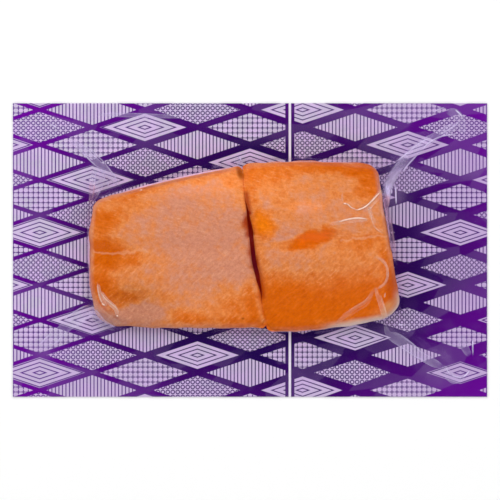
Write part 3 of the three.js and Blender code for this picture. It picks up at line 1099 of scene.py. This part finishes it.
def fatted(colour, place, from_rim):
    """A whitish rim of fat at the lower right, thin and tan at the very corner, and a trace at the left."""
    low_right = soft_patch(place, *LOW_RIGHT)
    corner = soft_patch(place, *THIN_CORNER)
    rays = grain(drawn_out(place, THIN_FAT["angle"], THIN_FAT["stretch"]), 1.0)
    thin = corner * (between(rays, *THIN_FAT["rays"]) * THIN_FAT["more_in_rays"] + THIN_FAT["share"])
    colour = tint(thin, colour, THIN_FAT["colour"])
    thick = low_right * (1 - corner * THICK_FAT["less_at_corner"])
    right_fat = between(from_rim, *THICK_FAT["reach"]) * thick * THICK_FAT["share"]
    left_fat = between(from_rim, *LEFT_FAT["reach"]) * soft_patch(place, *LOW_LEFT) * LEFT_FAT["share"]
    colour = tint(calc("MAXIMUM", right_fat, left_fat), colour, THICK_FAT["colour"])
    pale = between(from_rim, *FAT_EDGE["reach"]) * low_right * FAT_EDGE["share"]
    return tint(pale, colour, FAT_EDGE["colour"])


# %% The painted shade beside the cut and down the head's right side, and the whole material
# Painted shade: brown laid along both sides of the cut, where the cut faces fall into shade, and a darker
# patch down the head's right side.
BESIDE_CUT = [((-1.9, 30), (-0.2, 20), 2.4, 0.8), ((3.6, -4), (7.0, -25), 2.6, 0.6)]
BESIDE_CUT_RAGGED = [((-2.2, 16.5), (-0.6, 9), 3.4, 0.9), ((0.4, 3), (2.4, -8), 3.2, 0.75)]
SHADED_RIGHT_SIDE = [(76.5, -19.5, 3.4, 9, 6, 0.4, 0.5)]
CUT_SHADE = ink(160, 46, 2)
FLESH_ROUGHNESS = {"wet": 0.4, "dry": 0.6}
FLESH_RELIEF = {"fibre": 0.5, "mottle": 0.3}
FLESH_BUMP = {"strength": 0.35, "distance": 0.4}
FLESH_SHADER = {"Subsurface Weight": 0.10, "Subsurface Radius": (1.0, 0.35, 0.15),
                "Subsurface Scale": 2 * MM, "Specular IOR Level": 0.03}


def flesh_material():
    """Lays the colours over each other: scale, grains, rims, fat and the painted shade beside the cut and
    down the head's right side.
    """
    material, surface, place = new_material("char_flesh")
    ragged = ragged_place(place)
    grains = flesh_grains(place)
    from_rim = attribute(surface, "from_rim")
    wet = wetness(place, ragged, grains)
    colour = spotted(colour_scale(wet, FROM_HAZE_TO_WET), ragged, GLOWS)
    colour = grained(colour, place, grains, between(wet, *DRY), from_rim)
    colour = rimmed(colour, place, ragged, from_rim)
    colour = fatted(colour, place, from_rim)
    beside_cut = soft_lines(place, BESIDE_CUT) + soft_lines(ragged, BESIDE_CUT_RAGGED)
    shade = calc("MAXIMUM", beside_cut, soft_patches(place, SHADED_RIGHT_SIDE))
    # The painted shade of the cut and the right side is tinted in here.
    colour = tint(between(shade, 0.0, 1.0, soft=False), colour, CUT_SHADE)
    rough = lerp(FLESH_ROUGHNESS["wet"], FLESH_ROUGHNESS["dry"], between(wet, 1.0, 0.0, soft=False))
    relief = sum(grains[name] * much for name, much in FLESH_RELIEF.items())
    normal = bumps(relief, **FLESH_BUMP)
    fill(surface, {"Base Color": colour, "Roughness": rough, "Normal": normal, **FLESH_SHADER})
    return material


flesh = flesh_material()
for piece in (tail, head):
    piece.data.materials.append(flesh)
print("the flesh's material has", len(flesh.node_tree.nodes), "nodes")

# %% [markdown]
# ### The printed card
# The card is silvery lilac and carries a purple trellis of slanting bands, with fine drawing in each
# diamond: nested outlines, small rings, upright hairlines or small crosses. The bands and drawing are
# bright violet near the card's edges and darken to indigo round the fish. Across the card runs a crease
# where the ink is missing.
# A pattern like this could be drawn as mesh. Sums on the place give it with no extra faces: two slanting
# measures, one for each direction of the bands, tell how far a point is from a band and in which diamond.

# %% The drawing of the print
DIAMOND = {"wide": 57.0, "high": 19.0, "kinds": 4}
BAND_HALF = {"left": 0.060, "right": 0.132}
WIDER_BANDS = [(102, -62, 45, 32, 0, 0.055), (102, 62, 45, 32, 0, -0.020)]
BAND_EDGE = (0.494, 0.506)
LINE = {"half": 0.27, "soft": 0.12}
PITCH = {"outlines": 2.1, "uprights": 1.9, "rings": 2.7, "crosses": 2.7}
RING_RADIUS = 0.36
SAME = 0.5
CROSS_ARM = (1.3, 1.1)


def off_middle(value, pitch=1):
    """How far a value is from the middle of its step, where steps are a pitch long."""
    return calc("ABSOLUTE", calc("FRACT", value / pitch) - MIDDLE) * pitch


def fine_line(away):
    """A drawn line, from how far a point is from its middle."""
    return between(away, LINE["half"] + LINE["soft"], LINE["half"] - LINE["soft"])


def trellis(place, x, rising, falling):
    """The slanting bands, and how far a point is from the middle of its diamond."""
    outward = calc("MAXIMUM", off_middle(rising), off_middle(falling))
    half = lerp(BAND_HALF["left"], BAND_HALF["right"], between(x, -CARD_HALF_X, CARD_HALF_X, soft=False))
    return between(outward + half + soft_patches(place, WIDER_BANDS), *BAND_EDGE), outward


def drawing_in_diamonds(x, y, rising, falling, outward):
    """One of four fine drawings in each diamond."""
    per_unit = 1 / math.hypot(1 / DIAMOND["wide"], 1 / DIAMOND["high"])
    outlines = fine_line(off_middle(outward * per_unit, PITCH["outlines"]))
    uprights = fine_line(off_middle(x, PITCH["uprights"]))
    ring_x, ring_y = off_middle(x, PITCH["rings"]), off_middle(y, PITCH["rings"])
    from_middle = calc("SQRT", ring_x * ring_x + ring_y * ring_y)
    rings = fine_line(calc("ABSOLUTE", from_middle - RING_RADIUS * PITCH["rings"]))
    cross_x, cross_y = off_middle(x, PITCH["crosses"]), off_middle(y, PITCH["crosses"])
    near_middle = between(calc("MAXIMUM", cross_x, cross_y), *CROSS_ARM)
    crosses = fine_line(calc("MINIMUM", cross_x, cross_y)) * near_middle
    kind = calc("FLOORED_MODULO", calc("FLOOR", falling) * 2 + calc("FLOOR", rising), DIAMOND["kinds"])
    return sum(calc("COMPARE", kind, number, SAME) * lines
               for number, lines in enumerate((outlines, rings, uprights, crosses)))


# %% The ink and the card
GROUND = ink(202, 190, 216)
GROUND_WARM = ink(212, 188, 228)
GROUND_SHADE = ink(186, 156, 206)
FINE_VIOLET = ink(86, 14, 136)
VIOLET = ink(106, 2, 150)
INDIGO = ink(30, 0, 76)
BARE = ink(236, 228, 242)
# The print is darker round the fish, a dark indigo there in place of violet.
DARKER_ROUND_FISH = {"patch": ((8, -4), (118, 90), 0, 0.5), "cloud": (0.03, 3.0), "uneven": 0.5}
SHEEN = {"grain": (0.12, 3.0, 0.6), "over": (0.38, 0.62)}
# Painted shade: the card's ground darkens towards its right edge and its near edge.
PAINTED_CARD_SHADE = {"right": 30, "near": (-25, -70), "near_share": 0.5, "share": 0.7}
CREASE_BAND = {"half": 2.5, "soft": (0.2, -0.2)}
CREASE_EDGE = {"half": CREASE_WIDTH / 2, "soft": (0.15, -0.25)}


def upright_strip(from_crease, strip):
    """A strip along the crease."""
    return between(from_crease, *(strip["half"] + soft for soft in strip["soft"]))


def inked(place, x, y, bands, drawing):
    """The colour of the card with its print and its crease, and painted shade towards its right and near
    edges.
    """
    cloud = grain(place, *DARKER_ROUND_FISH["cloud"]) - MIDDLE
    round_fish = soft_patch(place, *DARKER_ROUND_FISH["patch"]) + cloud * DARKER_ROUND_FISH["uneven"]
    round_fish = between(round_fish, 0.0, 1.0, soft=False)
    ground = tint(between(grain(place, *SHEEN["grain"]), *SHEEN["over"]), GROUND, GROUND_WARM)
    near_shade = between(y, *PAINTED_CARD_SHADE["near"]) * PAINTED_CARD_SHADE["near_share"]
    card_shade = calc("MAXIMUM", between(x, PAINTED_CARD_SHADE["right"], CARD_HALF_X), near_shade)
    ground = tint(card_shade * PAINTED_CARD_SHADE["share"], ground, GROUND_SHADE)
    colour = tint(drawing, ground, tint(round_fish, FINE_VIOLET, INDIGO))
    from_crease = calc("ABSOLUTE", x - CREASE_X)
    strong = calc("MAXIMUM", bands, upright_strip(from_crease, CREASE_BAND))
    colour = tint(strong, colour, tint(round_fish, VIOLET, INDIGO))
    return tint(upright_strip(from_crease, CREASE_EDGE), colour, BARE)


# %% The material of the card
# Painted shade and glow under the cut: the card there is red, deeper and purplish low down, and glows a
# little, so that the gap between the portions reads as shaded flesh with light coming through it.
UNDER_CUT = ((-4.0, 38), (8.0, -35), 5.5)
GAP_SHADE_EDGE = (0.0, 0.4)
GAP_SHADE_RED = ink(215, 48, 8)
GAP_SHADE_PURPLE = ink(150, 20, 70)
DEEP_GAP_SHADE_AT = ((3, -5), (5, 7), 0, 0.5)
PAINTED_GLOW_UNDER_CUT = ink(70, 4, 0)
NO_GLOW = ink(0, 0, 0)
PAPER_GRAIN = (1.6, 3.0)
PAPER_BUMP = {"strength": 0.15, "distance": 0.05}
CARD_SHADER = {"Emission Strength": 1.0, "Roughness": 0.5, "Specular IOR Level": 0.05}


def print_material():
    """The print, with red painted under the cut for the shaded gap between the portions, and a painted glow
    there for the light that comes through the flesh.
    """
    material, surface, place = new_material("printed_card")
    x, y = split(place)
    across, up = x / DIAMOND["wide"], y / DIAMOND["high"]
    rising, falling = across + up, across - up
    bands, outward = trellis(place, x, rising, falling)
    colour = inked(place, x, y, bands, drawing_in_diamonds(x, y, rising, falling, outward))
    in_cut = between(soft_line(place, *UNDER_CUT), *GAP_SHADE_EDGE)
    gap_shade = tint(soft_patch(place, *DEEP_GAP_SHADE_AT), GAP_SHADE_RED, GAP_SHADE_PURPLE)
    paper = bumps(grain(place, *PAPER_GRAIN), **PAPER_BUMP)
    fill(surface, {"Base Color": tint(in_cut, colour, gap_shade), "Normal": paper,
                   "Emission Color": tint(in_cut, NO_GLOW, PAINTED_GLOW_UNDER_CUT), **CARD_SHADER})
    return material


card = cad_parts["backing_card"]
card.data.materials.clear()
card.data.materials.append(print_material())
print("the card carries", len(card.data.materials), "material")

# %% [markdown]
# ### The film and its folds
# Clear film is almost invisible where it lies flat. It shows as a faint milky veil, and it turns whiter
# near the fish's corners, where it stands off the card. Real glass shaders would make the lamps' light
# pass through noisily. A thin film bends light so little that plain see-through with a glossy skin looks
# the same: the Alpha input says how much of the skin is seen.

# %% The film material
MILK = ink(204, 170, 232)
VEILS = [
    (80, 36, 8, 13, -16, 0.20),
    (-81, 38, 8, 8, 20, 0.12),
    (-82, -34, 8, 7, 20, 0.06),
    (79, -43, 6, 8, 30, 0.10),
    (120, 44, 7, 5, 0, 0.10),
    (40, 75, 16, 3, -4, 0.08),
    (100, -62, 14, 7, -35, 0.08),
    (-112, -54, 6, 7, 0, 0.10),
]
FISH_AREA = ((-2, 2), (98, 58), 0, 0.12)
CLOUD = {"grain": (0.09, 4.0, 0.6), "thins_veils": (0.2, 0.6), "haze": (0.45, 0.7), "haze_share": 0.02}
# Painted sheen: angular patches off the fish where flat wrinkles in the film catch the light.
SHEEN_FACETS = {"angle": 25, "stretch": (22, 9, 20), "over": (0.5, 0.62), "share": 0.06}
CRINKLE_GRAIN = (0.3, 2.0, 0.5)
CRINKLE_BUMP = {"strength": 0.3, "distance": 0.4}
GLOSS = {"least": 0.008, "edge_on": 0.42, "power": 4.0}
FILM_SHADER = {"Base Color": MILK, "Roughness": 0.22}


def film_material():
    """A clear skin. Its alpha is the milk in it and its gloss, which grows where it is seen edge on."""
    material, surface, place = new_material("clear_film")
    cloud = grain(place, *CLOUD["grain"])
    off_fish = 1 - soft_patch(place, *FISH_AREA)
    sheen_facets = {"Vector": drawn_out(place, SHEEN_FACETS["angle"], SHEEN_FACETS["stretch"]), "Scale": 1.0}
    sheen_facets = between(put("TexVoronoi", sheen_facets, "Color"), *SHEEN_FACETS["over"]) * off_fish
    veil = soft_patches(place, VEILS) * between(cloud, *CLOUD["thins_veils"])
    haze = between(cloud, *CLOUD["haze"]) * off_fish
    veil = veil + haze * CLOUD["haze_share"] + sheen_facets * SHEEN_FACETS["share"]
    crinkle = bumps(grain(place, *CRINKLE_GRAIN), **CRINKLE_BUMP)
    edge_on = put("LayerWeight", {"Blend": 0.5, "Normal": crinkle}, "Facing")
    gloss = calc("POWER", edge_on, GLOSS["power"]) * GLOSS["edge_on"] + GLOSS["least"]
    alpha = calc("ADD", veil, gloss, use_clamp=True)
    fill(surface, {"Alpha": alpha, "Metallic": gloss / alpha, "Normal": crinkle, **FILM_SHADER})
    return material


# %% The material of the folds
BESIDE_FISH = [((73, 26), (80, -20), 6, 1), ((-87, 32), (-86, -28), 7, 1),
               ((-66, 33.2), (-10, 45.6), 4, 1), ((-70, -43.6), (-5, -44.6), 4, 1)]
BESIDE_FISH_EDGE = (0.0, 0.6)
STREAKY = {"grain": (0.5, 4.0, 0.7), "least": 0.6, "more": 0.8}
HOLES = {"grain": (0.12, 2.0, 0.5), "over": (0.2, 0.55), "least": 0.5}
MOST_MILK = 0.97
STREAK_BUMP = {"strength": 0.3, "distance": 0.3}
FOLD_SHADER = {"Roughness": 0.25, "Specular IOR Level": 0.3}


def fold_material(name, milk_colour, beside_fish):
    """A milky fold, whose white on the fine lines is a painted highlight. Down the fish's sides it takes on
    some of the flesh's colour.
    """
    material, surface, place = new_material(name)
    sides = between(soft_lines(place, BESIDE_FISH), *BESIDE_FISH_EDGE)
    streak = grain(place, *STREAKY["grain"])
    holes = lerp(HOLES["least"], 1, between(grain(place, *HOLES["grain"]), *HOLES["over"]))
    milk = attribute(surface, "milk_and_glint") * ((streak * STREAKY["more"] + STREAKY["least"]) * holes)
    colour = tint(sides, milk_colour, beside_fish)
    fill(surface, {"Base Color": colour, "Alpha": calc("MINIMUM", milk, MOST_MILK),
                   "Normal": bumps(streak, **STREAK_BUMP), **FOLD_SHADER})
    return material


film.data.materials.append(film_material())
folds_over_card.data.materials.append(
    fold_material("folded_film", ink(228, 212, 252), ink(226, 176, 206)))
folds_on_fish.data.materials.append(
    fold_material("folded_film_on_fish", ink(252, 214, 194), ink(246, 200, 180)))
print("materials:", sorted(material.name for material in bpy.data.materials))

# %% [markdown]
# ## Floor, light and camera
# The pack lies on a plain white floor in even studio light. Four large soft lamps give most of it, and a
# dim white world fills the shadows. The far lamp is the strongest, because the flesh is a little brighter
# towards the top of the picture. The folds need something bright to glint in, so lamps stand all round.
# The camera hangs high above with a long lens, so the pack's edges stay parallel.

# %% The floor
FLOOR_SHADER = {"Base Color": (0.985, 0.985, 0.985, 1), "Roughness": 0.9}
FLOOR_HALF = 1.5
FLOOR_Z = -0.2 * MM

floor_mesh = bmesh.new()
bmesh.ops.create_grid(floor_mesh, x_segments=1, y_segments=1, size=FLOOR_HALF)
floor_data = bpy.data.meshes.new("floor")
floor_mesh.to_mesh(floor_data)
floor_mesh.free()
floor = bpy.data.objects.new("floor", floor_data)
floor.location.z = FLOOR_Z
bpy.context.scene.collection.objects.link(floor)
floor_white = bpy.data.materials.new("white_floor")
floor_white.use_nodes = True
fill(floor_white.node_tree.nodes["Principled BSDF"], FLOOR_SHADER)
floor.data.materials.append(floor_white)

# %% The light
WORLD_STRENGTH = 0.16

world = bpy.data.worlds.new("studio")
world.use_nodes = True
fill(world.node_tree.nodes["Background"], {"Color": (1, 1, 1, 1), "Strength": WORLD_STRENGTH})
bpy.context.scene.world = world


def lamp(name, place, size, power):
    """A square area lamp that points at the pack."""
    light = bpy.data.lights.new(name, "AREA")
    light.size = size
    light.energy = power
    shining = bpy.data.objects.new(name, light)
    shining.location = place
    shining.rotation_euler = (-Vector(place)).to_track_quat("-Z", "Y").to_euler()
    bpy.context.scene.collection.objects.link(shining)


lamp("far_lamp", (-0.15, 0.95, 0.95), 1.1, 9.3)
lamp("near_lamp", (0.2, -0.95, 0.95), 1.0, 6.0)
lamp("left_lamp", (-0.98, 0.1, 0.85), 0.9, 6.0)
lamp("right_lamp", (0.98, 0.15, 0.85), 0.9, 5.5)

# %% The camera
PICTURE_WIDTH = 271 * MM
LENS = 220
SENSOR = 36

camera_data = bpy.data.cameras.new("camera")
camera_data.lens = LENS
camera_data.sensor_width = SENSOR
camera = bpy.data.objects.new("camera", camera_data)
camera.location = (0, 0, CARD_TOP * MM + PICTURE_WIDTH * LENS / SENSOR)
bpy.context.scene.collection.objects.link(camera)
bpy.context.scene.camera = camera
bpy.context.scene.view_settings.view_transform = "Standard"
print("the camera is", round(camera.location.z, 2), "m up")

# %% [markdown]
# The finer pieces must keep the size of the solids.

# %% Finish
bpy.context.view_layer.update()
